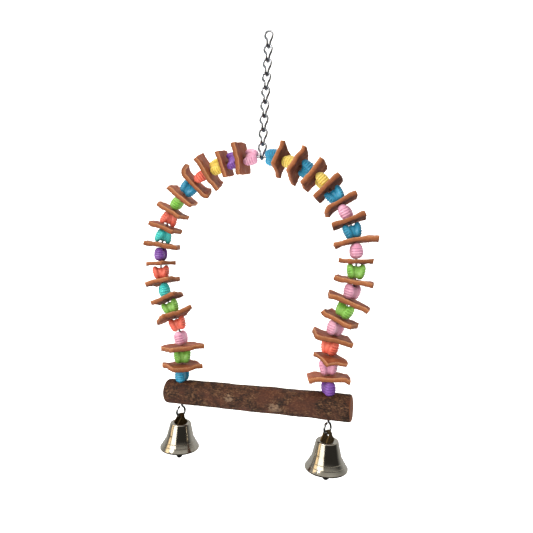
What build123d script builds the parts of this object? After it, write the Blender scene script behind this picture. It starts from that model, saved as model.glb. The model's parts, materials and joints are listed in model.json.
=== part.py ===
from build123d import *
import math
import os

# Bird swing: a bent wire arch strung with three-lobed beads and pieces of leather, with its ends
# passed down through a branch perch and curled into eyes that carry two bells. A twisted-link
# chain holds the arch. Millimetres, +Z up, +X along the perch, -Y towards the viewer.
# The origin is the point inside the top of the uppermost link where a hook bears.

# Clearances
running_gap = 0.15          # between metal pieces that hang in one another
seat_gap = 0.3              # between a piece and what it rests on
overrun = 1.0               # how far a cutter passes the face it cuts

# Chain
link_count = 9
link_wire = 1.6
link_loop_radius = 2.7      # centre line of each end loop
link_side_height = 6.0      # height of the twisted sides between the two loops
link_play = 2.0             # free wire left on each side of the lowest link's loop

# Arch wire
arch_wire_diameter = 1.6
tuck_angle = 30.5           # how far the arch runs below its widest point, degrees
leg_bend_radius = 61.0      # reverse bend that turns each leg upright
leg_straight = 20.6         # upright wire above the lowest bead's seat
bore_gap = 0.15             # around the wire in the perch and in the leather

# Eyes at the ends of the arch wire
eye_radius = 3.5            # centre line
eye_neck_radius = 1.6       # bend between the upright wire and the eye
eye_neck_angle = 60.0
eye_sweep_angle = 316.0
eye_turn = 65.0             # plane of the eye, turned from the perch's axis, degrees
eye_drop = 0.6              # straight wire showing under the perch

# Beads
bead_length = 9.9
lobe_diameter = 7.0
lobe_offset = 2.7           # lobe axis from the bore's axis, half way along
lobe_count = 3
lobe_lean = 12.5            # lobes spread towards one end, degrees
rib_count = 4
rib_height = 0.25
bead_bore = 3.0
bead_core_diameter = 6.4
core_length_share = 0.6
lobe_end_share = 0.62       # radius under a lobe's domed end over its radius half way
lobe_dome_share = 0.36      # height of a lobe's domed end over its radius half way

# Leather pieces
leather_thickness = 2.6
leather_corner = 1.2
left_play = 0.48            # between neighbours on the left string
right_play = 0.31           # between neighbours on the right string

# Perch
perch_diameter = 17.8
perch_overhang = 13.5       # past each wire, on average
perch_shift = 2.0           # of the branch's middle towards its right end
perch_edge_radius = 1.8     # rounded ends
perch_seat_depth = 2.2      # how far each lowest bead sinks into the branch
perch_seat_angle = 30.0     # of the seat's wall from the wire, degrees

# Bells
bell_height = 18.2
bell_rim_diameter = 27.8
bell_crown_diameter = 15.0
bell_wall = 0.8
bell_shoulder_radius = 1.2
waist_height_share = 0.42   # end of the straight wall, down the bell
waist_reach_share = 0.24    # and out from the crown towards the rim
flare_height_share = 0.74
flare_reach_share = 0.56
band_height = 0.3           # two raised bands above the lip
band_place_shares = (0.5, 0.74)
strap_height = 6.4
strap_thickness = 0.8
strap_loop_radius = 1.9     # inside of the strap's bend
strap_top_width = 3.0
strap_base_width = 8.6
staple_wire = 0.9
staple_radius = 1.3         # centre line
staple_leg = 1.1
clapper_rod_diameter = 1.2
clapper_ring_radius = 1.3   # centre line
clapper_ball_diameter = 4.5
clapper_below_rim = 8.0     # lowest point of the ball under the rim

# Where the swing's weight acts, as a share of the height from the chain to the perch
balance_share = 0.734

# One row a bead, from the perch up: +1 spreads its lobes upwards, and a turn about the wire.
bead_rows_left = [
    (1, 20), (1, 80), (1, 15), (1, 70), (1, 75), (1, 30), (1, 80), (1, 20),
    (-1, 85), (-1, 80), (1, 10), (1, 75), (-1, 15), (1, 80), (-1, 70), (-1, 25),
]
bead_rows_right = [
    (1, 20), (1, 40), (1, 85), (1, 75), (1, 85), (1, 70), (1, 80), (1, 15),
    (1, 85), (1, 40), (1, 70), (1, 20), (1, 80), (-1, 60), (-1, 30),
]
# Places in each string, counted in beads from the perch, where no leather lies above the bead.
left_bare_places = (3,)
right_bare_places = ()

# One row a leather, from the perch up: turn about the wire, curl of its two ends in degrees
# (+ is up the wire), share of its half length by which the hole is off centre, length and width.
leather_rows_left = [
    (141, 4, 8, 0.0, 23.0, 23.0), (141, 4, -8, 0.05, 25.0, 25.0), (136, 4, 4, 0.0, 23.0, 23.0),
    (98, 4, 4, 0.0, 19.0, 19.0), (94, -8, -4, 0.0, 19.5, 19.5), (78, 3, 3, 0.0, 16.5, 15.5),
    (113, 8, 6, 0.0, 24.5, 21.0), (98, 3, -3, -0.05, 20.0, 19.5), (96, 3, 3, 0.0, 20.0, 19.0),
    (106, 6, -6, 0.0, 21.0, 21.0), (120, 62, 50, 0.0, 28.0, 17.0), (117, 4, 4, 0.0, 27.0, 20.0),
    (105, 5, -5, 0.0, 19.0, 18.0), (12, -6, 6, 0.1, 24.0, 22.0),
]
leather_rows_right = [
    (106, -16, -18, 0.0, 27.0, 18.0), (36, 20, -35, 0.2, 22.0, 15.0), (110, 10, -5, 0.0, 25.0, 19.0),
    (83, 28, 12, 0.0, 22.0, 19.0), (103, -4, -16, 0.0, 27.0, 20.0), (94, 14, -4, 0.0, 25.0, 19.0),
    (128, 12, -16, 0.0, 18.0, 15.0), (98, -24, -20, 0.08, 29.0, 17.0), (99, 4, 4, 0.0, 22.5, 17.0),
    (100, -60, -10, 0.0, 24.0, 15.0), (94, 3, 3, 0.0, 22.0, 18.0), (98, 3, 3, 0.0, 21.5, 20.0),
    (106, 3, 3, 0.0, 21.0, 22.0), (108, -6, 8, 0.0, 19.0, 20.0),
]

# Lengths that follow
link_half_height = link_loop_radius + link_side_height / 2
link_pitch = 2 * link_half_height - link_wire - running_gap
link_gap = link_wire / 2 + link_play


def string_length(beads, leathers, play):
    """Length of one side's string, from its seat in the perch to the lowest chain link."""
    pieces = beads * bead_length + leathers * leather_thickness
    return seat_gap + pieces + (beads + leathers - 1) * play + link_gap


# Bead ends fall away from the bore so that neighbours clear one another on the tightest bend.
end_slope = (bead_length + leather_thickness) / 2 / leg_bend_radius
spread_offset = lobe_offset + bead_length / 2 * math.tan(math.radians(lobe_lean))
bead_reach = lobe_offset + math.hypot(lobe_diameter / 2, spread_offset - lobe_offset)
left_string = string_length(len(bead_rows_left), len(leather_rows_left), left_play)
right_string = string_length(len(bead_rows_right), len(leather_rows_right), right_play)
tuck = math.radians(tuck_angle)
half_wire = (left_string + right_string) / 2
arch_radius = (half_wire - leg_straight - leg_bend_radius * tuck) / (math.pi / 2 + tuck)
half_spacing = arch_radius * math.cos(tuck) - leg_bend_radius * (1 - math.cos(tuck))
leg_top = -arch_radius - (arch_radius + leg_bend_radius) * math.sin(tuck)
seat_height = leg_top - leg_straight
seat_radius = lobe_offset + lobe_diameter / 2 * lobe_end_share - (spread_offset - lobe_offset) + seat_gap
perch_top = seat_height + perch_seat_depth
perch_axis = perch_top - perch_diameter / 2
perch_length = 2 * (half_spacing + perch_overhang)

# The chain sits off the arch's middle, towards the shorter string, so the swing hangs out of level.
hang_turn = (left_string - right_string) / 2 / arch_radius
hang_x = arch_radius * math.sin(hang_turn)
hang_z = arch_radius * (math.cos(hang_turn) - 1)
hang_tilt = math.atan2(hang_x, balance_share * (hang_z - perch_axis))
top_link_height = link_wire / 2 - link_half_height
lowest_link_height = top_link_height - (link_count - 1) * link_pitch
wire_height = lowest_link_height - link_half_height + (link_wire + arch_wire_diameter) / 2 + running_gap
swing_frame = (
    Pos(0, 0, wire_height) * Rot(0, -math.degrees(hang_tilt), 0) * Pos(-hang_x, 0, -hang_z)
)


def rod(edges, diameter):
    """Round wire along a chain of tangent edges."""
    runs = []
    for edge in edges:
        section = Plane(origin=edge @ 0, z_dir=edge % 0) * Circle(diameter / 2)
        runs.append(sweep(section, path=edge))
    body = runs[0]
    for run in runs[1:]:
        body = body + run
    return body


def arc_xz(centre_x, centre_z, radius, start_angle, end_angle):
    """Arc in the arch's plane, angles in degrees from +X towards +Z."""
    points = []
    for angle in (start_angle, (start_angle + end_angle) / 2, end_angle):
        turn = math.radians(angle)
        points.append((centre_x + radius * math.cos(turn), 0, centre_z + radius * math.sin(turn)))
    return ThreePointArc(*points)


def wire_place(distance, side):
    """Frame on the wire at a distance above the seat: Z up the wire, X towards the viewer."""
    bend_length = leg_bend_radius * tuck
    if distance < leg_straight:
        x, z, heading = half_spacing, seat_height + distance, math.pi / 2
    elif distance < leg_straight + bend_length:
        turn = (distance - leg_straight) / leg_bend_radius
        x = half_spacing + leg_bend_radius * (1 - math.cos(turn))
        z = leg_top + leg_bend_radius * math.sin(turn)
        heading = math.pi / 2 - turn
    else:
        turn = (distance - leg_straight - bend_length) / arch_radius - tuck
        x = arch_radius * math.cos(turn)
        z = arch_radius * (math.sin(turn) - 1)
        heading = turn + math.pi / 2
    along = (side * math.cos(heading), 0, math.sin(heading))
    return Plane(origin=(side * x, 0, z), x_dir=(0, -1, 0), z_dir=along).location


def chain_link():
    """Oblong link twisted a quarter turn: its upper loop lies in XZ and its lower loop in YZ."""
    half_side = link_side_height / 2
    reach = link_loop_radius
    crown = link_half_height
    edges = [
        ThreePointArc((-reach, 0, half_side), (0, 0, crown), (reach, 0, half_side)),
        ThreePointArc((0, -reach, -half_side), (0, 0, -crown), (0, reach, -half_side)),
    ]
    for side in (1, -1):
        top = Vector(side * reach, 0, half_side)
        middle = Vector(side * reach / 2, side * reach / 2, 0)
        bottom = Vector(0, side * reach, -half_side)
        upper = TangentArc(top, middle, tangent=(0, 0, -1))
        lower = TangentArc(bottom, middle, tangent=(0, 0, 1))
        edges += [upper, lower]
    return rod(edges, link_wire)


def eye_edges(side):
    """Neck and eye under the perch, in the plane turned from the perch's axis."""
    neck_turn = math.radians(eye_neck_angle)
    start = perch_top - perch_diameter - eye_drop
    neck_end_across = eye_neck_radius * (1 - math.cos(neck_turn))
    neck_end_height = start - eye_neck_radius * math.sin(neck_turn)
    first_angle = eye_neck_angle
    centre_across = neck_end_across - eye_radius * math.cos(neck_turn)
    centre_height = neck_end_height - eye_radius * math.sin(neck_turn)
    neck = arc_xz(eye_neck_radius, start, eye_neck_radius, 180, 180 + eye_neck_angle)
    ring_half = eye_sweep_angle / 2
    first = arc_xz(centre_across, centre_height, eye_radius, first_angle, first_angle - ring_half)
    second = arc_xz(
        centre_across, centre_height, eye_radius, first_angle - ring_half, first_angle - eye_sweep_angle
    )
    place = Pos(side * half_spacing, 0, 0) * Rot(0, 0, eye_turn)
    hinge = place * Pos(centre_across, 0, centre_height - eye_radius)
    return [place * neck, place * first, place * second], hinge


def arch_wire():
    """The whole wire: arch, reverse bends, legs through the perch, and an eye at each end."""
    top_left = 180 + tuck_angle
    edges = [
        arc_xz(0, -arch_radius, arch_radius, -tuck_angle, 90),
        arc_xz(0, -arch_radius, arch_radius, 90, top_left),
    ]
    bend_x = half_spacing + leg_bend_radius
    edges.append(arc_xz(bend_x, leg_top, leg_bend_radius, 180 - tuck_angle, 180))
    edges.append(arc_xz(-bend_x, leg_top, leg_bend_radius, tuck_angle, 0))
    for side in (1, -1):
        foot = perch_top - perch_diameter - eye_drop
        edges.append(Line((side * half_spacing, 0, leg_top), (side * half_spacing, 0, foot)))
        edges += eye_edges(side)[0]
    return rod(edges, arch_wire_diameter)


def bead():
    """Three ribbed egg-shaped lobes, spread towards the +Z end, on a bored core."""
    half = bead_length / 2
    radius = lobe_diameter / 2 - rib_height
    end_radius = radius * lobe_end_share
    dome = radius * lobe_dome_share
    barrel = bead_length / math.cos(math.radians(lobe_lean)) - 2 * dome
    rib_span = barrel / rib_count
    lines = []
    edge_points = []
    for step in range(rib_count + 1):
        height = step * rib_span - barrel / 2
        swell = math.sqrt(1 - (1 - lobe_end_share ** 2) * (2 * height / barrel) ** 2)
        edge_points.append((radius * swell, height))
    lines.append(Line((0, -barrel / 2 - dome), (0, barrel / 2 + dome)))
    lines.append(ThreePointArc(*dome_points(end_radius, barrel / 2, dome)))
    lines.append(ThreePointArc(*dome_points(end_radius, -barrel / 2, -dome)))
    for lower, upper in zip(edge_points, edge_points[1:]):
        crest = ((lower[0] + upper[0]) / 2 + rib_height, (lower[1] + upper[1]) / 2)
        lines.append(ThreePointArc(lower, crest, upper))
    profile = Plane.XZ * make_face(lines)
    lobe = revolve(profile, axis=Axis.Z)
    core = Cylinder(bead_core_diameter / 2, bead_length * core_length_share)
    body = core
    for place in PolarLocations(lobe_offset, lobe_count):
        body = body + place * Rot(0, lobe_lean, 0) * lobe
    reach = lobe_offset + lobe_diameter
    fall = reach * end_slope
    outline = Polyline((0, -half), (reach, fall - half), (reach, half - fall), (0, half), close=True)
    body = body & revolve(Plane.XZ * make_face(outline), axis=Axis.Z)
    return body - Cylinder(bead_bore / 2, bead_length + 2 * overrun)


def dome_points(radius, base, rise):
    """Three points of a shallow dome's profile, from its edge to its crown on the axis."""
    ball = (radius ** 2 + rise ** 2) / (2 * abs(rise))
    middle = radius / 2
    drop = ball - math.sqrt(ball ** 2 - middle ** 2)
    return (radius, base), (middle, base + rise - math.copysign(drop, rise)), (0, base + rise)


def leather(first_curl, second_curl, hole_share, length, width):
    """Piece of hide, flat where the beads press on it, with two curling ends and a punched hole."""
    half = length / 2
    flat = bead_reach + seat_gap
    shift = half * hole_share
    edges = [Line((-flat, 0), (flat, 0))]
    for direction, curl in ((1, second_curl), (-1, first_curl)):
        turn = math.radians(abs(curl))
        bend = (half + direction * shift - flat) / turn
        rise = math.copysign(bend, curl)
        points = []
        for part in (0, turn / 2, turn):
            across = direction * (flat + bend * math.sin(part))
            points.append((across, rise * (1 - math.cos(part))))
        edges.append(ThreePointArc(*points))
    strip = trace(Curve() + edges, leather_thickness)
    plate = extrude(Plane.XZ * strip, amount=width / 2, both=True)
    plate = fillet(corner_edges(plate, width), leather_corner)
    hole = Cylinder(arch_wire_diameter / 2 + bore_gap, length)
    return plate - hole


def corner_edges(plate, width):
    """The four edges through the thickness at the corners of a piece of hide."""
    return [
        edge for edge in plate.edges()
        if edge.geom_type == GeomType.LINE
        and abs(edge.length - leather_thickness) < leather_thickness / 2
        and abs((edge % 0.5).Y) < 0.5
        and abs((edge @ 0.5).Y) > width / 2 - leather_corner
        and abs((edge @ 0.5).X) > bead_reach + leather_thickness / 2
    ]


def strings():
    """Place both strings: beads one by one and leathers as two groups a side."""
    beads = {}
    hides = {}
    sides = (
        ("left", -1, bead_rows_left, leather_rows_left, left_bare_places, left_play),
        ("right", 1, bead_rows_right, leather_rows_right, right_bare_places, right_play),
    )
    one_bead = bead()
    for name, side, bead_rows, leather_rows, bare_places, play in sides:
        distance = seat_gap
        waiting = list(leather_rows)
        for number, (flare, turn) in enumerate(bead_rows, start=1):
            middle = distance + bead_length / 2
            up = Rot(0, 0, 0) if flare > 0 else Rot(180, 0, 0)
            place = swing_frame * wire_place(middle, side)
            beads[f"{name}_bead_{number:02d}"] = place * Rot(0, 0, turn) * up * one_bead
            distance += bead_length + play
            if number in bare_places or not waiting:
                continue
            spin, *shape = waiting.pop(0)
            place = swing_frame * wire_place(distance + leather_thickness / 2, side)
            hide = place * Rot(0, 0, spin) * leather(*shape)
            level = "lower" if len(waiting) >= len(leather_rows) // 2 else "upper"
            hides.setdefault(f"{name}_{level}_leathers", []).append(hide)
            distance += leather_thickness + play
    return beads, hides


def perch():
    """Branch with a slight wander and rounded ends, bored and countersunk for the two strings."""
    radius = perch_diameter / 2
    length_shares = (-0.5, -0.25, 0.0, 0.25, 0.5)
    radius_shares = (0.97, 0.98, 1.0, 0.96, 0.99)
    wander_shares = (-0.02, 0.05, 0.06, 0.03, -0.04)
    sections = []
    for along, girth, wander in zip(length_shares, radius_shares, wander_shares):
        middle = perch_shift + perch_length * along
        place = Pos(middle, radius * wander, perch_axis - radius * wander / 2)
        sections.append(place * Rot(0, 90, 0) * Circle(radius * girth))
    branch = loft(sections)
    ends = branch.faces().sort_by(Axis.X)
    rims = ends[0].edges() + ends[-1].edges()
    branch = fillet(rims, perch_edge_radius)
    cut_height = perch_seat_depth + overrun
    mouth_radius = seat_radius + cut_height * math.tan(math.radians(perch_seat_angle))
    for side in (1, -1):
        bore = Cylinder(arch_wire_diameter / 2 + bore_gap, perch_diameter + 2 * overrun)
        branch = branch - Pos(side * half_spacing, 0, perch_axis) * bore
        seat = Cone(seat_radius, mouth_radius, cut_height)
        branch = branch - Pos(side * half_spacing, 0, seat_height + cut_height / 2) * seat
    return branch


def bell_outline(inset):
    """Half section of the bell, its skin drawn in by the inset: crown on Y = 0, axis on X = 0."""
    crown = bell_crown_diameter / 2 - inset
    spread = (bell_rim_diameter - bell_crown_diameter) / 2
    shoulder = (crown, -inset - bell_shoulder_radius)
    waist = (crown + spread * waist_reach_share, -bell_height * waist_height_share)
    flare = (crown + spread * flare_reach_share, -bell_height * flare_height_share)
    lip = (crown + spread, bell_wall - bell_height)
    return [
        Line((0, -inset), (crown - bell_shoulder_radius, -inset)),
        TangentArc((crown - bell_shoulder_radius, -inset), shoulder, tangent=(1, 0)),
        Line(shoulder, waist),
        ThreePointArc(waist, flare, lip),
    ]


def bell_shell():
    """Pressed bell: flat crown, waist and flared lip with two raised bands."""
    solids = []
    for inset, foot in ((0, -bell_height), (bell_wall, -bell_height - overrun)):
        skin = bell_outline(inset)
        lip = skin[-1] @ 1
        closing = Polyline((lip.X, lip.Y), (lip.X, foot), (0, foot), (0, -inset))
        section = make_face(skin + closing.edges())
        solids.append(revolve(Plane.XZ * section, axis=Axis.Z))
    outside, inside = solids
    flare = bell_outline(0)[-1]
    for share in band_place_shares:
        centre = flare @ share
        outside = outside + Pos(0, 0, centre.Y) * Torus(centre.X, band_height)
    return outside - inside


def hinge_over_crown():
    """Height of the eye's lowest wire above the crown of the bell that hangs on it."""
    eye_inside = eye_radius - arch_wire_diameter / 2
    sag = eye_inside - math.sqrt(eye_inside ** 2 - (strap_top_width / 2) ** 2)
    return strap_height - strap_thickness - sag - running_gap - arch_wire_diameter / 2


def bell_strap():
    """Strip bent over the eye, narrow round the bend and widening to its feet on the crown."""
    bend = strap_loop_radius + strap_thickness / 2
    bend_height = strap_height - strap_thickness / 2 - bend
    path = [
        Line((-bend, 0), (-bend, bend_height)),
        ThreePointArc((-bend, bend_height), (0, bend_height + bend), (bend, bend_height)),
        Line((bend, bend_height), (bend, 0)),
    ]
    strip = trace(Curve() + path, strap_thickness)
    half_base = strap_base_width / 2
    half_top = strap_top_width / 2
    arch = extrude(Plane.YZ * strip, amount=half_base, both=True)
    face = make_face(Polyline(
        (-half_base, 0), (half_base, 0), (half_top, bend_height), (half_top, strap_height),
        (-half_top, strap_height), (-half_top, bend_height), close=True,
    ))
    return arch & extrude(Plane.XZ * face, amount=2 * bend, both=True)


def clapper_hinge():
    """Height of the staple's lowest wire, which the clapper swings on."""
    return -bell_wall - staple_leg - staple_radius


def clapper_staple():
    """Wire staple under the crown."""
    bend_height = clapper_hinge() + staple_radius
    edges = [ThreePointArc(
        (-staple_radius, 0, bend_height), (0, 0, clapper_hinge()), (staple_radius, 0, bend_height)
    )]
    for side in (1, -1):
        edges.append(Line((side * staple_radius, 0, bend_height), (side * staple_radius, 0, -bell_wall)))
    return rod(edges, staple_wire)


def clapper():
    """Ring on the staple, rod and ball, hanging a little below the rim."""
    ring_top = clapper_hinge() + staple_wire + running_gap
    ring_height = ring_top - clapper_ring_radius
    ring = Pos(0, 0, ring_height) * Rot(0, 90, 0) * Torus(clapper_ring_radius, staple_wire / 2)
    rod_top = ring_height - clapper_ring_radius
    ball_height = clapper_ball_diameter / 2 - bell_height - clapper_below_rim
    rod_length = rod_top - ball_height
    stem = Pos(0, 0, rod_top - rod_length / 2) * Cylinder(clapper_rod_diameter / 2, rod_length)
    return ring + stem + Pos(0, 0, ball_height) * Sphere(clapper_ball_diameter / 2)


def bell_frame(side):
    """Frame of a bell's crown, hung from the eye and turned plumb about the eye's wire."""
    plumb = math.degrees(math.atan(math.tan(hang_tilt) * math.sin(math.radians(eye_turn))))
    hinge = eye_edges(side)[1]
    return swing_frame * hinge * Rot(plumb, 0, 0) * Pos(0, 0, -hinge_over_crown())


def build():
    """Every node of the swing at rest, by name."""
    nodes = {}
    link = chain_link()
    for number in range(link_count):
        height = top_link_height - number * link_pitch
        nodes[f"chain_link_{number + 1}"] = Pos(0, 0, height) * link
    nodes["arch_wire"] = swing_frame * arch_wire()
    nodes["perch"] = swing_frame * perch()
    beads, hides = strings()
    nodes.update(beads)
    for name, pieces in hides.items():
        nodes[name] = Compound([piece.solid() for piece in pieces])
    bell_pieces = {
        "bell_shell": bell_shell(),
        "bell_strap": bell_strap(),
        "clapper_staple": clapper_staple(),
        "clapper": clapper(),
    }
    for name, side in (("left", -1), ("right", 1)):
        for piece_name, piece in bell_pieces.items():
            nodes[f"{name}_{piece_name}"] = bell_frame(side) * piece
    return nodes


os.makedirs("parts", exist_ok=True)
for node_name, node_shape in build().items():
    export_step(node_shape, f"parts/{node_name}.step")
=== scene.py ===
import json
import math
import random
import bpy
from mathutils import Matrix, Vector, noise


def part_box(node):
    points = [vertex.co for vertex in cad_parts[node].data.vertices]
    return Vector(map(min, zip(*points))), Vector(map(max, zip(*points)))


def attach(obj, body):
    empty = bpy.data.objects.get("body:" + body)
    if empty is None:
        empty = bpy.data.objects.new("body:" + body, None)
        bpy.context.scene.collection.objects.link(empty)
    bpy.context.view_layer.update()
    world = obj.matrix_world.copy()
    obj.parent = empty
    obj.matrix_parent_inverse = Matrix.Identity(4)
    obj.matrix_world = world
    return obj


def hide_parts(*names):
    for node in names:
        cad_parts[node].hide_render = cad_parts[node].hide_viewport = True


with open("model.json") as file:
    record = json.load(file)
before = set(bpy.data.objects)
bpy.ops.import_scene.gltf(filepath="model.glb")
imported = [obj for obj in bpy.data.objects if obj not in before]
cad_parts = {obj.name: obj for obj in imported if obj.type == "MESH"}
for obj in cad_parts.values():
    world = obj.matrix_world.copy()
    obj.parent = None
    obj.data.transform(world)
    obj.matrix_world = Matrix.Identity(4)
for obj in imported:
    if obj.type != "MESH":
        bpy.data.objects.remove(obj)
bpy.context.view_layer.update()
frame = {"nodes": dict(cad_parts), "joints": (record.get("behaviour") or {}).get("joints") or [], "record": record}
MM = 0.001

# Chain
# Nine oblong links of plated steel wire, each twisted a quarter turn between its two loops.
# They hang in one another, and the lowest holds the arch.
cloud_scale = 260.0
cloud_share = 0.7
cloud_roughness = 0.10
rub_scale = 2600.0
rub_stretch = 6.0
rub_roughness = 0.05
rub_depth = 0.02 * MM
tarnish_scale = 120.0
tarnish_range = (0.48, 0.72)


class Signal:
    """One output of a shader node. Arithmetic on it adds Math nodes."""

    def __init__(self, tree, socket=None):
        self.tree = tree
        self.socket = socket

    def make(self, kind, settings=(), inputs=(), output=0):
        """Add a node: its settings first, then a value or a link for each socket."""
        node = self.tree.nodes.new("ShaderNode" + kind)
        for name, value in dict(settings).items():
            if name == "stops":
                ramp = node.color_ramp
                while len(ramp.elements) < len(value):
                    ramp.elements.new(1.0)
                for element, (place, colour) in zip(ramp.elements, value):
                    element.position = place
                    element.color = colour
            else:
                setattr(node, name, value)
        for name, value in dict(inputs).items():
            if isinstance(value, Signal):
                self.tree.links.new(value.socket, node.inputs[name])
            else:
                node.inputs[name].default_value = value
        return Signal(self.tree, node.outputs[output])

    def calculate(self, operation, first, second):
        return self.make("Math", {"operation": operation}, {0: first, 1: second})

    def __add__(self, other):
        return self.calculate("ADD", self, other)

    __radd__ = __add__

    def __sub__(self, other):
        return self.calculate("SUBTRACT", self, other)

    def __mul__(self, other):
        return self.calculate("MULTIPLY", self, other)

    def noise(self, scale, detail=4.0, roughness=0.55):
        """Cloudy pattern at this place, with features of about one over the scale, in metres."""
        sockets = {"Vector": self, "Scale": scale, "Detail": detail, "Roughness": roughness}
        return self.make("TexNoise", {}, sockets, "Fac")

    def stretched(self, x, y, z):
        """This place with its axes stretched."""
        return self.make("Mapping", {"vector_type": "POINT"}, {"Vector": self, "Scale": (x, y, z)})

    def between(self, low, high):
        """This signal spread from low to high and cut off there."""
        return self.make(
            "MapRange", {"clamp": True}, {"Value": self, "From Min": low, "From Max": high}
        )

    def blend(self, first, second):
        """Colour between two colours by this share."""
        return self.make("Mix", {"data_type": "RGBA"}, {0: self, 6: first, 7: second}, 2)

    def bump(self, distance, strength=1.0):
        """Surface normal raised by this signal, by up to the distance in metres."""
        return self.make("Bump", {}, {"Height": self, "Distance": distance, "Strength": strength})


def new_finish(name):
    """Empty material and the object coordinates that its patterns read."""
    material = bpy.data.materials.new(name)
    material.use_nodes = True
    material.node_tree.nodes.clear()
    place = Signal(material.node_tree).make("TexCoord", output="Object")
    return material, place


def close_finish(material, place, **sockets):
    """Principled surface with the given sockets, named with underscores for spaces."""
    named = {name.replace("_", " "): value for name, value in sockets.items()}
    surface = place.make("BsdfPrincipled", {}, named)
    end = material.node_tree.nodes.new("ShaderNodeOutputMaterial")
    material.node_tree.links.new(surface.socket, end.inputs["Surface"])
    return material


def colour(red, green, blue):
    """Linear colour from the 0 to 255 values that a screen shows."""
    parts = []
    for value in (red, green, blue):
        share = value / 255
        parts.append(share / 12.92 if share <= 0.04045 else ((share + 0.055) / 1.055) ** 2.4)
    return (*parts, 1.0)


def metal_finish(name, bright, dull, polish, wear, edge=1.0):
    """Plated metal with clouded polish, tarnish and rubbing marks. Edge is how bright its outline is."""
    material, place = new_finish(name)
    cloud = place.noise(cloud_scale, detail=5.0)
    rub = place.stretched(1.0, 1.0, rub_stretch).noise(rub_scale, detail=3.0)
    tarnish = place.noise(tarnish_scale, detail=6.0, roughness=0.65).between(*tarnish_range)
    return close_finish(
        material, place,
        Base_Color=(tarnish * wear).blend(bright, dull),
        Metallic=1.0,
        Specular_Tint=(edge, edge, edge, 1.0),
        Roughness=polish + cloud * cloud_roughness + rub * rub_roughness,
        Normal=(cloud * cloud_share + rub * (1 - cloud_share)).bump(rub_depth, strength=0.35),
    )


def dress(node_name, material):
    """Give a construction node this finish on every slot."""
    mesh = frame["nodes"][node_name].data
    for index in range(len(mesh.materials)):
        mesh.materials[index] = material


link_finish = metal_finish(
    "plated_link_steel", colour(192, 195, 202), colour(96, 95, 94), polish=0.16, wear=0.55, edge=0.12
)
for node_name in frame["nodes"]:
    if node_name.startswith("chain_link_"):
        dress(node_name, link_finish)

# Arch wire
# One length of bright drawn steel wire, bent by hand to a horseshoe, with an eye curled at each end.
# Its legs pass through the perch.
wire_finish = metal_finish(
    "bright_drawn_wire", colour(196, 199, 204), colour(120, 120, 122), polish=0.13, wear=0.4, edge=0.15
)
dress("arch_wire", wire_finish)

# Perch
# A straight length of branch with its bark on, sawn and rounded at both ends and bored for the wires.
# Three places are rubbed through to the pale wood under the bark.
perch_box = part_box("perch")
perch_radius = 8.72 * MM
perch_cell = 0.36 * MM
left_hinge = next(joint for joint in frame["joints"] if joint["name"] == "left_bead_01_spin")
right_hinge = next(joint for joint in frame["joints"] if joint["name"] == "right_bead_01_spin")
wire_up = Vector(left_hinge["axis"]).normalized()
perch_along = Vector((wire_up.z, 0.0, -wire_up.x))
wire_feet = [Vector(left_hinge["pos_m"]), Vector(right_hinge["pos_m"])]
bead_to_axis = 11.95 * MM
perch_shift = 2.0 * MM
seat_floor = 6.5 * MM
seat_radius = 4.45 * MM
seat_slope = math.tan(math.radians(30.0))
perch_middle = (wire_feet[0] + wire_feet[1]) / 2 - wire_up * bead_to_axis + perch_along * perch_shift
end_trim = 1.4 * MM
perch_length = (perch_box[1].x - perch_box[0].x) / perch_along.x - end_trim
end_round = 1.7 * MM
end_fade = 1.2 * MM
sawn_reach = 0.75 * MM
sawn_fade = 0.4 * MM
hole_reach = 1.7 * MM
hole_fade = 0.6 * MM
sway_reach = 0.35 * MM
sway_rate = 42.0
sway_start = 0.6
lump_height = 0.32 * MM
crack_depth = 0.22 * MM
knot_height = 0.7 * MM
bare_depth = 0.28 * MM
bark_scales = (160.0, 330.0, 330.0)
lump_scale = 0.5
ragged_scale = 2.2
crack_scale = 3.6
ragged_share = 0.45
bare_level = 0.48
bare_contrast = 2.4
# Place along the branch, turn about it in radians, and size
bare_patches = [(-15.0 * MM, -1.5, 3.4 * MM), (17.0 * MM, -1.9, 5.2 * MM), (-44.0 * MM, 1.9, 4.0 * MM)]
knots = [(-31.0 * MM, -0.4, 3.4 * MM), (36.0 * MM, 1.2, 3.0 * MM), (5.0 * MM, 2.6, 3.6 * MM)]


def deselect_everything():
    bpy.ops.object.select_all(action="DESELECT")


def use_modifier(piece, kind, **settings):
    """Add a modifier with these settings and apply it."""
    bpy.context.view_layer.objects.active = piece
    modifier = piece.modifiers.new(kind.lower(), kind)
    for name, value in settings.items():
        setattr(modifier, name, value)
    bpy.ops.object.modifier_apply(modifier=modifier.name)


def add_attribute(piece, name, values):
    """Store one number a vertex for the finish to read."""
    layer = piece.data.attributes.new(name, "FLOAT", "POINT")
    layer.data.foreach_set("value", values)


def smooth(piece, angle=40.0):
    """Smooth shading with sharp edges kept past the angle, in degrees."""
    deselect_everything()
    piece.select_set(True)
    bpy.context.view_layer.objects.active = piece
    bpy.ops.object.shade_smooth_by_angle(angle=math.radians(angle))


def clamped(value):
    return min(1.0, max(0.0, value))


def near(along, turn, spot):
    """How much of a round spot on the bark covers this place, from 0 to 1."""
    spot_along, spot_turn, size = spot
    swing = math.remainder(turn - spot_turn, 2 * math.pi) * perch_radius
    return math.exp(-((along - spot_along) ** 2 + swing ** 2) / size ** 2)


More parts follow.
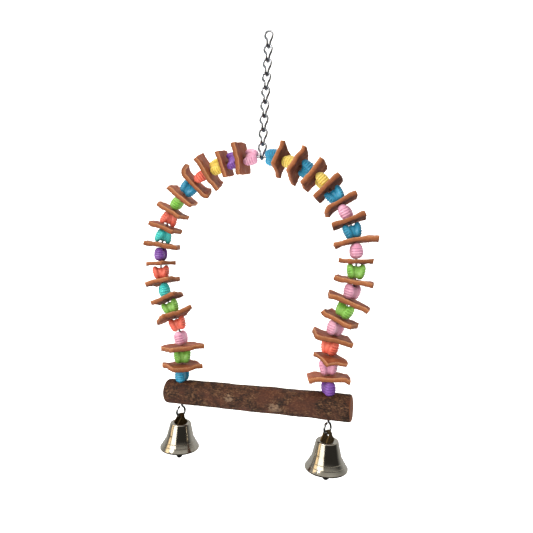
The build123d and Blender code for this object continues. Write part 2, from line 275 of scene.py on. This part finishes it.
deselect_everything()
bpy.ops.mesh.primitive_cylinder_add(vertices=64, radius=perch_radius, depth=perch_length)
perch = bpy.context.object
perch.name = "perch_branch"
use_modifier(
    perch, "BEVEL", width=end_round, segments=4, limit_method="ANGLE", angle_limit=math.radians(60)
)
use_modifier(perch, "REMESH", mode="VOXEL", voxel_size=perch_cell)
bare_values, ring_values, end_values, hole_values = [], [], [], []
for vertex in perch.data.vertices:
    along = -vertex.co.z
    across = vertex.co.x
    upward = vertex.co.y
    turn = math.atan2(across, upward)
    outward = Vector((across, upward, 0.0))
    distance = outward.length
    on_side = clamped((perch_length / 2 - abs(along)) / end_fade) * (distance / perch_radius) ** 4
    place = Vector((along, across, upward)) * Vector(bark_scales)
    ragged = noise.fractal(place * ragged_scale, 1.0, 2.0, 5)
    bare = max(near(along, turn, spot) for spot in bare_patches)
    bare = clamped((bare + ragged_share * ragged - bare_level) * bare_contrast)
    lumps = noise.fractal(place * lump_scale, 1.0, 2.1, 4) * lump_height
    cracks = abs(noise.fractal(place * crack_scale, 0.9, 2.0, 4)) * crack_depth
    knot = sum(near(along, turn, spot) for spot in knots) * knot_height
    lift = (lumps + knot - cracks * (1 - bare) - bare_depth * bare) * on_side
    sway = sway_reach * math.sin(along * sway_rate + sway_start)
    direction = outward.normalized() if distance > 0 else outward
    moved = outward + direction * lift
    hole = 0.0
    sawn = clamped((abs(along) - perch_length / 2 + sawn_reach) / sawn_fade)
    for side in (-1, 1):
        leg = side * (wire_feet[1] - wire_feet[0]).length / 2 - perch_shift
        gap = math.hypot(along - leg, moved.x)
        hole = max(hole, clamped((hole_reach - gap) / hole_fade))
        seat_wall = seat_floor + max(0.0, gap - seat_radius) / seat_slope
        if moved.y > seat_wall:
            sawn = 1.0
            moved.y = seat_wall
    vertex.co.x = moved.x + sway * (1 - hole)
    vertex.co.y = moved.y
    bare_values.append(bare)
    ring_values.append(distance / MM)
    end_values.append(sawn)
    hole_values.append(hole)
add_attribute(perch, "bare_wood", bare_values)
add_attribute(perch, "ring_place", ring_values)
add_attribute(perch, "sawn_end", end_values)
add_attribute(perch, "wire_hole", hole_values)
turned = Matrix((
    (0.0, wire_up.x, -perch_along.x, perch_middle.x),
    (1.0, wire_up.y, -perch_along.y, perch_middle.y),
    (0.0, wire_up.z, -perch_along.z, perch_middle.z),
    (0.0, 0.0, 0.0, 1.0),
))
perch.data.transform(turned)
smooth(perch, 60.0)

bark_stretch = (0.55, 1.0, 1.0)
mottle_share = 0.36
red_range = (0.42, 0.66)
red_share = 0.55
wood_range = (0.38, 0.62)
ring_wobble = 1.6
ring_rate = 5.2
ring_contrast = 0.3
# Painted shade: share of near-black painted on the bark round each wire hole
hole_shade = 0.8
bark_roughness = 0.62
mottle_roughness = 0.25
bare_polish = 0.06
bark_relief = 0.22 * MM
bark, place = new_finish("branch_bark")
bare = place.make("Attribute", {"attribute_name": "bare_wood"}, output="Fac")
ring = place.make("Attribute", {"attribute_name": "ring_place"}, output="Fac")
sawn = place.make("Attribute", {"attribute_name": "sawn_end"}, output="Fac")
hole = place.make("Attribute", {"attribute_name": "wire_hole"}, output="Fac")
long_place = place.stretched(*bark_stretch)
mottle = long_place.noise(scale=330.0, detail=8.0, roughness=0.68)
speckle = long_place.noise(scale=1300.0, detail=5.0, roughness=0.65)
redness = place.noise(scale=95.0, detail=4.0)
bark_colour = mottle.make("ValToRGB", {"stops": [
    (0.40, colour(14, 9, 6)), (0.47, colour(39, 23, 13)), (0.53, colour(69, 40, 23)),
    (0.62, colour(106, 80, 54)),
]}, {"Fac": mottle * mottle_share + speckle * (1 - mottle_share)})
bark_colour = (redness.between(*red_range) * red_share).blend(bark_colour, colour(80, 41, 25))
wood_colour = speckle.between(*wood_range).blend(colour(72, 51, 37), colour(128, 102, 79))
ring_noise = place.noise(scale=300.0, detail=3.0) * ring_wobble
ring_wave = place.make("Math", {"operation": "SINE"}, {0: (ring + ring_noise) * ring_rate})
end_colour = (ring_wave * ring_contrast + 0.5).blend(colour(84, 46, 26), colour(128, 76, 44))
mixed = bare.blend(bark_colour, wood_colour)
mixed = sawn.blend(mixed, end_colour)
# Painted shade: the bark is darkened nearly to black round each place where a wire leg enters the branch
mixed = (hole * hole_shade).blend(mixed, colour(30, 20, 16))
close_finish(
    bark, place,
    Base_Color=mixed,
    Roughness=bark_roughness + mottle * mottle_roughness - bare * bare_polish,
    Specular_IOR_Level=0.35,
    Normal=(mottle * 0.5 + speckle * 0.5).bump(bark_relief, strength=0.8),
)
perch.data.materials.append(bark)
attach(perch, "swing")
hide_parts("perch")

# Beads
# Injection-moulded beads of glossy plastic: two lobes joined by a web and flared towards one end, with ribs
# across the outer edge of each lobe. They are strung loosely on the wire and spin on it.
bead_half = 5.0 * MM
bead_bore = 1.5 * MM
bead_cell = 0.23 * MM
lobe_lean = math.radians(14.0)
lobe_offset = 3.3 * MM
lobe_radii = (2.7 * MM, 3.8 * MM, 5.2 * MM)
web_radii = (3.6 * MM, 2.85 * MM, 4.3 * MM)
web_drop = 0.4 * MM
lobe_square = (2.5, 0.45)
lobe_taper = 0.12
pole_place = 0.999
pole_guard = 0.02
bead_smoothing = 16
rib_pitch = 1.85 * MM
rib_height = 0.46 * MM
rib_level = 0.7
ribbed_half = 2 * rib_pitch
ribbed_fade = 0.4 * MM
ribbed_facing = (0.05, 0.4)
# Painted shade: share of the deep colour that the rib grooves are darkened to
groove_shade = 0.55
flow_range = (0.35, 0.7)
flow_share = 0.8
bead_roughness = 0.24
scuff_range = (0.5, 0.8)
scuff_roughness = 0.22
scuff_depth = 0.02 * MM
milky_depths = (1.2 * MM, 1.0 * MM, 0.9 * MM)
# From the perch up: flared end (1 upper, -1 lower) and turn about the wire in degrees
bead_rows = {
    "left": [
        (1, 0), (1, -55), (1, 5), (1, 110), (1, 108), (1, 42), (1, 110), (1, 10),
        (-1, -42), (-1, -45), (1, 15), (1, 110), (-1, 20), (1, 62), (-1, 72), (-1, 60),
    ],
    "right": [
        (1, 30), (1, 110), (1, 62), (1, -35), (1, 60), (1, -30), (1, 110), (1, 19),
        (1, 114), (1, -5), (1, 100), (1, 20), (1, 56), (-1, -20), (-1, 50),
    ],
}
bead_colours = {
    "bead_blue": (colour(32, 120, 156), colour(64, 152, 184)),
    "bead_teal": (colour(48, 186, 182), colour(90, 212, 206)),
    "bead_green": (colour(112, 176, 66), colour(152, 202, 106)),
    "bead_purple": (colour(106, 62, 144), colour(138, 96, 174)),
    "bead_pink": (colour(206, 140, 168), colour(226, 180, 198)),
    "bead_orange": (colour(212, 90, 72), colour(226, 124, 104)),
    "bead_yellow": (colour(216, 186, 78), colour(236, 212, 124)),
}


def bead_finish(name, deep, pale):
    """Glossy plastic with a faint flow mark, fine handling scuffs and painted shade in the rib grooves."""
    material, place = new_finish(name)
    flow = place.noise(scale=140.0, detail=3.0)
    scuff = place.noise(scale=1500.0, detail=6.0, roughness=0.7)
    groove = place.make("Attribute", {"attribute_name": "rib_groove"}, output="Fac")
    # Painted shade: the bead's colour is darkened in the rib grooves
    shade = (*(part * groove_shade for part in deep[:3]), 1.0)
    hue = (flow.between(*flow_range) * flow_share).blend(deep, pale)
    return close_finish(
        material, place,
        Base_Color=groove.blend(hue, shade),
        Roughness=bead_roughness + scuff.between(*scuff_range) * scuff_roughness,
        Subsurface_Weight=0.12,
        Subsurface_Radius=milky_depths,
        Subsurface_Scale=1.0,
        Coat_Weight=0.25,
        Coat_Roughness=0.12,
        Normal=scuff.bump(scuff_depth, strength=0.5),
    )


def bead_form(name, radii, centre, lean):
    """Egg on the origin's axis, pointed towards +Z, then leant over and set off to its place."""
    deselect_everything()
    bpy.ops.mesh.primitive_uv_sphere_add(segments=48, ring_count=32, radius=1.0)
    form = bpy.context.object
    form.name = name
    for vertex in form.data.vertices:
        height = vertex.co.z
        profile = (1 - min(1.0, abs(height)) ** lobe_square[0]) ** lobe_square[1]
        full = profile / max(math.sqrt(max(0.0, 1 - height ** 2)), pole_guard)
        full = full * (1 - lobe_taper * height) if abs(height) < pole_place else 1.0
        vertex.co.x *= full * radii[0]
        vertex.co.y *= full * radii[1]
        vertex.co.z *= radii[2]
    form.data.transform(Matrix.Translation(centre) @ Matrix.Rotation(lean, 4, "Y"))
    return form


def bead_blank():
    """A bead with its bore on Z and its lobes on X, flared towards +Z."""
    forms = [
        bead_form("bead_web", web_radii, (0.0, 0.0, -web_drop), 0.0),
        bead_form("bead_right_lobe", lobe_radii, (lobe_offset, 0.0, 0.0), lobe_lean),
        bead_form("bead_left_lobe", lobe_radii, (-lobe_offset, 0.0, 0.0), -lobe_lean),
    ]
    deselect_everything()
    for form in forms:
        form.select_set(True)
    blank = forms[0]
    bpy.context.view_layer.objects.active = blank
    bpy.ops.object.join()
    use_modifier(blank, "REMESH", mode="VOXEL", voxel_size=bead_cell)
    use_modifier(blank, "SMOOTH", factor=0.5, iterations=bead_smoothing)
    tallest = max(vertex.co.z for vertex in blank.data.vertices)
    ribbed, painted_groove_values = [], []
    for vertex in blank.data.vertices:
        side = math.copysign(1.0, vertex.co.x)
        climb = vertex.co.z * math.cos(lobe_lean) + (abs(vertex.co.x) - lobe_offset) * math.sin(lobe_lean)
        outer = clamped((vertex.normal.x * side - ribbed_facing[0]) / ribbed_facing[1])
        outer *= clamped((ribbed_half - abs(climb)) / ribbed_fade)
        crest = abs(math.sin(math.pi * climb / rib_pitch))
        ribbed.append(vertex.co + vertex.normal * (crest - rib_level) * rib_height * outer)
        # Painted shade: how far each vertex lies in a rib groove, which darkens its colour there
        painted_groove_values.append(outer * (1 - crest) ** 2)
    for vertex, place in zip(blank.data.vertices, ribbed):
        vertex.co = (place.x, place.y, place.z * bead_half / tallest)
    add_attribute(blank, "rib_groove", painted_groove_values)
    deselect_everything()
    bpy.ops.mesh.primitive_cylinder_add(vertices=32, radius=bead_bore, depth=4 * bead_half)
    drill = bpy.context.object
    use_modifier(blank, "BOOLEAN", operation="DIFFERENCE", object=drill, solver="EXACT")
    bpy.data.objects.remove(drill)
    smooth(blank, 50.0)
    return blank


def on_wire(place, up):
    """Frame on the wire at this place: X to the front and Z along the wire."""
    front = Vector((0.0, -1.0, 0.0))
    stand = Matrix((front, up.cross(front), up)).transposed().to_4x4()
    return Matrix.Translation(place) @ stand


bead_finishes = {slot: bead_finish(slot + "_gloss", *pair) for slot, pair in bead_colours.items()}
slots = {subpart["node"]: subpart["material_slot"] for subpart in frame["record"]["subparts"]}
hinges = {joint["name"]: joint for joint in frame["joints"]}
blank = bead_blank()
for side, rows in bead_rows.items():
    for number, (flare, turn) in enumerate(rows, start=1):
        node_name = f"{side}_bead_{number:02d}"
        hinge = hinges[node_name + "_spin"]
        bead = bpy.data.objects.new(node_name + "_moulding", blank.data.copy())
        bpy.context.scene.collection.objects.link(bead)
        flip = Matrix.Rotation(math.pi * (flare < 0), 4, "X")
        spin = Matrix.Rotation(math.radians(turn), 4, "Z")
        stand = on_wire(Vector(hinge["pos_m"]), Vector(hinge["axis"]).normalized())
        bead.data.transform(stand @ spin @ flip)
        bead.data.materials.append(bead_finishes[slots[node_name]])
        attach(bead, hinge["child"])
        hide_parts(node_name)
bpy.data.objects.remove(blank)

# Leather pieces
# Squares and offcuts of thick vegetable-tanned hide, punched in the middle and threaded tightly on the wire
# between the beads. The grain side is smooth, the flesh side is suede and the cut edges are pale and frayed.
hide_thickness = 2.6 * MM
hide_cell = 0.62 * MM
pressed_share = 0.85
swell_share = 0.4
bead_press = 6.7 * MM
press_fade = 4.0 * MM
wire_radius = 0.8 * MM
hide_bevel = 0.3 * MM
cut_scale = 2.4
cut_share = 0.035
corner_share = 0.03
side_facing = 0.7
border_width = 0.5 * MM
border_reach = 1.6
wave_height = 1.0 * MM
wave_scale = 105.0
fringe_length = 0.55 * MM
fringe_scale = 950.0
grit_height = 0.07 * MM
grit_scale = 900.0
dye_share = 0.65
nap_share = 0.35
pore_share = 0.2
pore_scale = 1500.0
batch_share = 0.55
nap_roughness = 0.15
hide_relief = 0.16 * MM
dye_relief_share = 0.4
edge_relief = 0.22 * MM
edge_batch_share = 0.4
strand_shift = 0.6
strand_share = 0.6
edge_roughness = 0.72
fuzz_range = (0.48, 0.7)
fuzz_share = 0.7
fuzz_roughness = 0.2
# From the perch up: turn about the wire, curl of each end in degrees, hole off the middle as a share of half
# the length, and length and width in mm
hide_rows = {
    "left": [
        (141, 4, 8, 0.0, 23.0, 23.0), (141, 4, -8, 0.05, 25.0, 25.0), (136, 4, 4, 0.0, 23.0, 23.0),
        (98, 4, 4, 0.0, 19.0, 19.0), (94, -8, -4, 0.0, 19.5, 19.5), (78, 3, 3, 0.0, 16.5, 15.5),
        (113, 8, 6, 0.0, 24.5, 21.0), (98, 3, -3, -0.05, 20.0, 19.5), (96, 3, 3, 0.0, 20.0, 19.0),
        (106, 6, -6, 0.0, 21.0, 21.0), (120, 62, 50, 0.0, 28.0, 17.0), (117, 4, 4, 0.0, 27.0, 20.0),
        (105, 5, -5, 0.0, 19.0, 18.0), (12, -6, 6, 0.1, 24.0, 22.0),
    ],
    "right": [
        (106, -16, -18, 0.0, 27.0, 18.0), (36, 20, -35, 0.2, 22.0, 15.0), (110, 10, -5, 0.0, 25.0, 19.0),
        (83, 28, 12, 0.0, 22.0, 19.0), (103, -4, -16, 0.0, 27.0, 20.0), (94, 14, -4, 0.0, 25.0, 19.0),
        (128, 12, -16, 0.0, 18.0, 15.0), (98, -24, -20, 0.08, 29.0, 17.0), (99, 4, 4, 0.0, 22.5, 17.0),
        (100, -60, -10, 0.0, 24.0, 15.0), (94, 3, 3, 0.0, 22.0, 18.0), (98, 3, 3, 0.0, 21.5, 20.0),
        (106, 3, 3, 0.0, 21.0, 22.0), (108, -6, 8, 0.0, 19.0, 20.0),
    ],
}
# Pairs of beads with no leather between them, by the number of the lower one
bare_places = {"left": (3,), "right": ()}


def leather_finish(name, dark, middle, pale, rough, fibre):
    """One side of the hide: mottled dye, pores or nap, and a soft sheen."""
    material, place = new_finish(name)
    dye = place.noise(scale=170.0, detail=6.0, roughness=0.6)
    pores = place.make("TexVoronoi", {"feature": "F1"}, {"Vector": place, "Scale": pore_scale}, "Distance")
    nap = place.noise(scale=2600.0, detail=4.0, roughness=0.7)
    batch = place.make("Attribute", {"attribute_name": "hide_batch"}, output="Fac")
    tone = dye * dye_share + nap * (nap_share * fibre) + pores * (pore_share * (1 - fibre))
    hue = tone.make("ValToRGB", {"stops": [(0.28, dark), (0.5, middle), (0.72, pale)]}, {"Fac": tone})
    hue = (batch * batch_share).blend(hue, dark)
    height = nap * fibre + pores * (1 - fibre) + dye * dye_relief_share
    return close_finish(
        material, place,
        Base_Color=hue,
        Roughness=rough + nap * nap_roughness,
        Specular_IOR_Level=0.4,
        Normal=height.bump(hide_relief, strength=0.7),
    )


grain_side = leather_finish(
    "hide_grain_side", colour(106, 46, 26), colour(160, 87, 52), colour(192, 122, 80), rough=0.5, fibre=0.35
)
flesh_side = leather_finish(
    "hide_flesh_side", colour(64, 28, 13), colour(112, 58, 31), colour(150, 95, 60), rough=0.8, fibre=0.9
)

cut_edge, place = new_finish("hide_cut_edge")
layer = place.make("Attribute", {"attribute_name": "hide_layer"}, output="Fac")
strand = place.noise(scale=700.0, detail=6.0, roughness=0.7)
fuzz = place.noise(scale=2400.0, detail=4.0, roughness=0.7)
edge_hue = layer.make("ValToRGB", {"stops": [
    (0.0, colour(84, 46, 27)), (0.2, colour(120, 69, 40)), (0.5, colour(142, 84, 50)),
    (0.78, colour(164, 105, 68)), (0.9, colour(192, 144, 105)), (1.0, colour(114, 60, 36)),
]}, {"Fac": layer + (strand - 0.5) * strand_shift})
batch = place.make("Attribute", {"attribute_name": "hide_batch"}, output="Fac")
edge_hue = (fuzz.between(*fuzz_range) * fuzz_share).blend(edge_hue, colour(94, 51, 29))
edge_hue = (batch * edge_batch_share).blend(edge_hue, colour(106, 57, 33))
close_finish(
    cut_edge, place,
    Base_Color=edge_hue,
    Roughness=edge_roughness + fuzz * fuzz_roughness,
    Specular_IOR_Level=0.3,
    Normal=(strand * strand_share + fuzz * (1 - strand_share)).bump(edge_relief, strength=0.8),
)


def hide_piece(name, first_curl, second_curl, hole_share, length, width, seed):
    """A piece of hide on the origin, its grain up +Z and the wire's hole at the origin."""
    deselect_everything()
    half = length * MM / 2
    half_width = width * MM / 2
    shift = half * hole_share
    bpy.ops.mesh.primitive_grid_add(
        x_subdivisions=round(2 * half / hide_cell), y_subdivisions=round(2 * half_width / hide_cell), size=1.0
    )
    piece = bpy.context.object
    piece.name = name
    piece.location = (shift, 0, 0)
    piece.scale = (2 * half, 2 * half_width, 1)
    bpy.ops.object.transform_apply(location=True, scale=True)
    bpy.ops.object.mode_set(mode="EDIT")
    bpy.ops.mesh.select_mode(type="FACE")
    bpy.ops.mesh.select_all(action="DESELECT")
    bpy.ops.object.mode_set(mode="OBJECT")
    for face in piece.data.polygons:
        face.select = face.center.length < wire_radius
    bpy.ops.object.mode_set(mode="EDIT")
    bpy.ops.mesh.delete(type="FACE")
    bpy.ops.object.mode_set(mode="OBJECT")
    draw = random.Random(seed)
    offset = Vector((draw.uniform(-50, 50), draw.uniform(-50, 50), draw.uniform(-50, 50)))
    batch = draw.random()
    for vertex in piece.data.vertices:
        x = (vertex.co.x - shift) / half
        y = vertex.co.y / half_width
        pull = cut_share * max(abs(x), abs(y)) ** 5
        rounding = corner_share * abs(x * y) ** 6
        end_cut = noise.noise(offset + Vector((0, y * cut_scale, 3)))
        side_cut = noise.noise(offset + Vector((x * cut_scale, 0, 9)))
        vertex.co.x += x * half * (end_cut * pull - rounding)
        vertex.co.y += y * half_width * (side_cut * pull - rounding)
    use_modifier(piece, "SOLIDIFY", thickness=hide_thickness, offset=0.0)
    for face in piece.data.polygons:
        if face.normal.z > side_facing:
            face.material_index = 0
        elif face.normal.z < -side_facing:
            face.material_index = 1
        else:
            face.material_index = 2
    use_modifier(
        piece, "BEVEL", width=hide_bevel, segments=2, limit_method="ANGLE", angle_limit=math.radians(50)
    )
    layers = []
    for vertex in piece.data.vertices:
        x, y, height = vertex.co
        layers.append(clamped(height / hide_thickness + 0.5))
        free = clamped((math.hypot(x, y) - bead_press) / press_fade)
        height *= pressed_share + swell_share * free
        border = clamped(border_reach - min(half - abs(x - shift), half_width - abs(y)) / border_width)
        flat_place = Vector((x, y, 0))
        wave = noise.fractal(offset + flat_place * wave_scale, 1.0, 2.0, 3) * wave_height * free
        fringe = max(0.0, noise.noise(offset + flat_place * fringe_scale)) * fringe_length * border * free
        height -= fringe if height < 0 else 0.0
        grit = noise.noise(offset + Vector((x, y, height)) * grit_scale) * grit_height * free
        curl = second_curl if x > 0 else first_curl
        over = abs(x) - bead_press
        turn = 0.0
        if over > 0:
            bend = (half + math.copysign(shift, x) - bead_press) / math.radians(abs(curl))
            turn = over / bend
            x = math.copysign(bead_press + bend * math.sin(turn), x)
            wave += math.copysign(bend * (1 - math.cos(turn)), curl)
        lean = math.copysign(1.0, x) * math.copysign(1.0, curl)
        vertex.co = (x - lean * height * math.sin(turn), y, wave + grit + height * math.cos(turn))
    add_attribute(piece, "hide_layer", layers)
    add_attribute(piece, "hide_batch", [batch] * len(layers))
    for material in (grain_side, flesh_side, cut_edge):
        piece.data.materials.append(material)
    smooth(piece, 50.0)
    return piece


for side, rows in hide_rows.items():
    strung = [joint for joint in frame["joints"] if joint["name"].startswith(f"{side}_bead_")]
    pairs = []
    for number, (lower, upper) in enumerate(zip(strung, strung[1:]), start=1):
        if number not in bare_places[side]:
            pairs.append((lower, upper))
    for number, ((lower, upper), (turn, *shape)) in enumerate(zip(pairs, rows), start=1):
        hide = hide_piece(f"{side}_leather_{number:02d}", *shape, seed=number * 7 + len(side))
        up = (Vector(lower["axis"]) + Vector(upper["axis"])).normalized()
        middle = (Vector(lower["pos_m"]) + Vector(upper["pos_m"])) / 2
        hide.data.transform(on_wire(middle, up) @ Matrix.Rotation(math.radians(turn), 4, "Z"))
        level = "lower" if number <= len(rows) // 2 else "upper"
        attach(hide, "swing")
        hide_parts(f"{side}_{level}_leathers")

# Bells
# Pressed brass bells under bright nickel plate, each with a bent strap brazed on its crown and a wire staple
# inside for the clapper. The straps hang on the eyes of the arch wire.
nickel = metal_finish(
    "bell_nickel_plate", colour(206, 199, 184), colour(176, 160, 130), polish=0.06, wear=0.35
)
strap_bronze = metal_finish(
    "aged_strap_bronze", colour(112, 92, 60), colour(58, 44, 26), polish=0.30, wear=0.8
)
clapper_steel = metal_finish(
    "dark_clapper_steel", colour(120, 120, 122), colour(70, 68, 66), polish=0.18, wear=0.6
)
for side in ("left", "right"):
    dress(f"{side}_bell_shell", nickel)
    dress(f"{side}_bell_strap", strap_bronze)
    dress(f"{side}_clapper_staple", wire_finish)
    dress(f"{side}_clapper", clapper_steel)

# Studio
# A plain pale sweep under and behind the swing, lit by a wash. A broad soft key and a warm one stand at the
# front left with a lamp for glints, and fills above and at the front right. The camera stands close to the
# swing, a little to its right.
floor_height = -0.345
sweep_width = 1.8
sweep_depth = 0.45
sweep_middle = -0.25
sweep_rise = 1.0
sweep_bend = 0.2
edge_slack = 1.0 * MM
paper_shades = ((0.90, 0.90, 0.90, 1.0), (0.93, 0.93, 0.93, 1.0))
deselect_everything()
bpy.ops.mesh.primitive_plane_add(
    size=sweep_width, location=(sweep_middle, sweep_depth - sweep_width / 2, floor_height)
)
floor = bpy.context.object
floor.name = "studio_sweep"
bpy.ops.object.transform_apply(location=True)
bpy.ops.object.mode_set(mode="EDIT")
bpy.ops.mesh.select_mode(type="EDGE")
bpy.ops.mesh.select_all(action="DESELECT")
bpy.ops.object.mode_set(mode="OBJECT")
for edge in floor.data.edges:
    ends = [floor.data.vertices[index].co.y for index in edge.vertices]
    edge.select = min(ends) > sweep_depth - edge_slack
bpy.ops.object.mode_set(mode="EDIT")
bpy.ops.mesh.extrude_region_move(TRANSFORM_OT_translate={"value": (0, 0, sweep_rise)})
bpy.ops.object.mode_set(mode="OBJECT")
use_modifier(
    floor, "BEVEL", width=sweep_bend, segments=12, limit_method="ANGLE", angle_limit=math.radians(30)
)
smooth(floor, 60.0)
paper, place = new_finish("studio_paper")
close_finish(
    paper, place,
    Base_Color=place.noise(scale=40.0, detail=2.0).blend(*paper_shades),
    Roughness=0.9,
    Emission_Color=(1.0, 1.0, 1.0, 1.0),
    Emission_Strength=0.55,
)
floor.data.materials.append(paper)
floor.visible_glossy = False

view_turn = math.radians(18.7)
room_dark = (0.035, 0.034, 0.032, 1.0)
room_pale = (0.50, 0.51, 0.52, 1.0)
ceiling_pale = (0.62, 0.62, 0.60, 1.0)
room_range = (-0.15, 0.55)
ceiling_range = (0.3, 0.95)
world = bpy.data.worlds.new("studio_air")
bpy.context.scene.world = world
world.use_nodes = True
air = Signal(world.node_tree)
outlook = air.make("TexCoord", output="Generated")
away = (-math.sin(view_turn), math.cos(view_turn), 0.0)
behind = air.make("VectorMath", {"operation": "DOT_PRODUCT"}, {0: outlook, 1: away}, "Value")
above = air.make("VectorMath", {"operation": "DOT_PRODUCT"}, {0: outlook, 1: (0.0, 0.0, 1.0)}, "Value")
room = behind.between(*room_range).blend(room_dark, room_pale)
room = above.between(*ceiling_range).blend(room, ceiling_pale)
world.node_tree.links.new(room.socket, world.node_tree.nodes["Background"].inputs["Color"])


def soft_light(name, place, target, width, height, power, tint, mirrored=True):
    """Rectangular area light at a place, facing a target, seen in polished metal if mirrored."""
    lamp = bpy.data.lights.new(name, "AREA")
    lamp.shape = "RECTANGLE"
    lamp.size = width
    lamp.size_y = height
    lamp.energy = power
    lamp.color = tint
    holder = bpy.data.objects.new(name, lamp)
    bpy.context.scene.collection.objects.link(holder)
    holder.location = place
    holder.rotation_euler = (Vector(target) - Vector(place)).to_track_quat("-Z", "Y").to_euler()
    holder.visible_glossy = mirrored


swing_heart = (0.0, 0.0, -0.17)
soft_light(
    "key_softbox", (-0.40, -0.80, 0.02), swing_heart,
    width=0.66, height=0.8, power=3.8, tint=(1.0, 0.97, 0.91)
)
soft_light(
    "warm_softbox", (-0.78, -0.45, 0.02), swing_heart,
    width=0.30, height=0.8, power=1.3, tint=(1.0, 0.76, 0.46)
)
soft_light(
    "key_lift", (-0.40, -0.80, 0.25), swing_heart,
    width=0.6, height=0.6, power=3.0, tint=(1.0, 0.98, 0.95), mirrored=False
)
soft_light(
    "glint_lamp", (-0.36, -0.60, 0.28), swing_heart,
    width=0.13, height=0.13, power=1.1, tint=(1.0, 0.98, 0.95)
)
soft_light(
    "top_softbox", (-0.05, -0.15, 0.75), swing_heart,
    width=0.7, height=0.7, power=2.6, tint=(1.0, 1.0, 1.0), mirrored=False
)
soft_light(
    "front_fill", (0.45, -0.85, 0.15), swing_heart,
    width=0.6, height=0.6, power=3.0, tint=(1.0, 0.99, 0.97), mirrored=False
)
soft_light(
    "sweep_wash", (-0.2, 0.1, 0.75), (-0.2, 0.45, 0.0),
    width=1.2, height=0.4, power=6.0, tint=(1.0, 1.0, 1.0), mirrored=False
)

image_pixels = 533
focal_pixels = 449.4
view_distance = 307.2 * MM
view_roll = math.radians(3.38)
horizon_pixel = 258.95
view_target = Vector((7.87 * MM, 0.0, -156.2 * MM))
lens = bpy.data.cameras.new("photo_lens")
lens.sensor_width = 36.0
lens.lens = lens.sensor_width * focal_pixels / image_pixels
lens.clip_start = 0.01
lens.shift_y = (horizon_pixel - image_pixels / 2) / image_pixels
camera = bpy.data.objects.new("photo_camera", lens)
bpy.context.scene.collection.objects.link(camera)
camera.location = view_target + view_distance * Vector((math.sin(view_turn), -math.cos(view_turn), 0.0))
facing = Matrix.Rotation(view_turn, 4, "Z") @ Matrix.Rotation(math.radians(90), 4, "X")
camera.rotation_euler = (facing @ Matrix.Rotation(view_roll, 4, "Z")).to_euler()
bpy.context.scene.camera = camera
bpy.context.scene.view_settings.view_transform = "Standard"
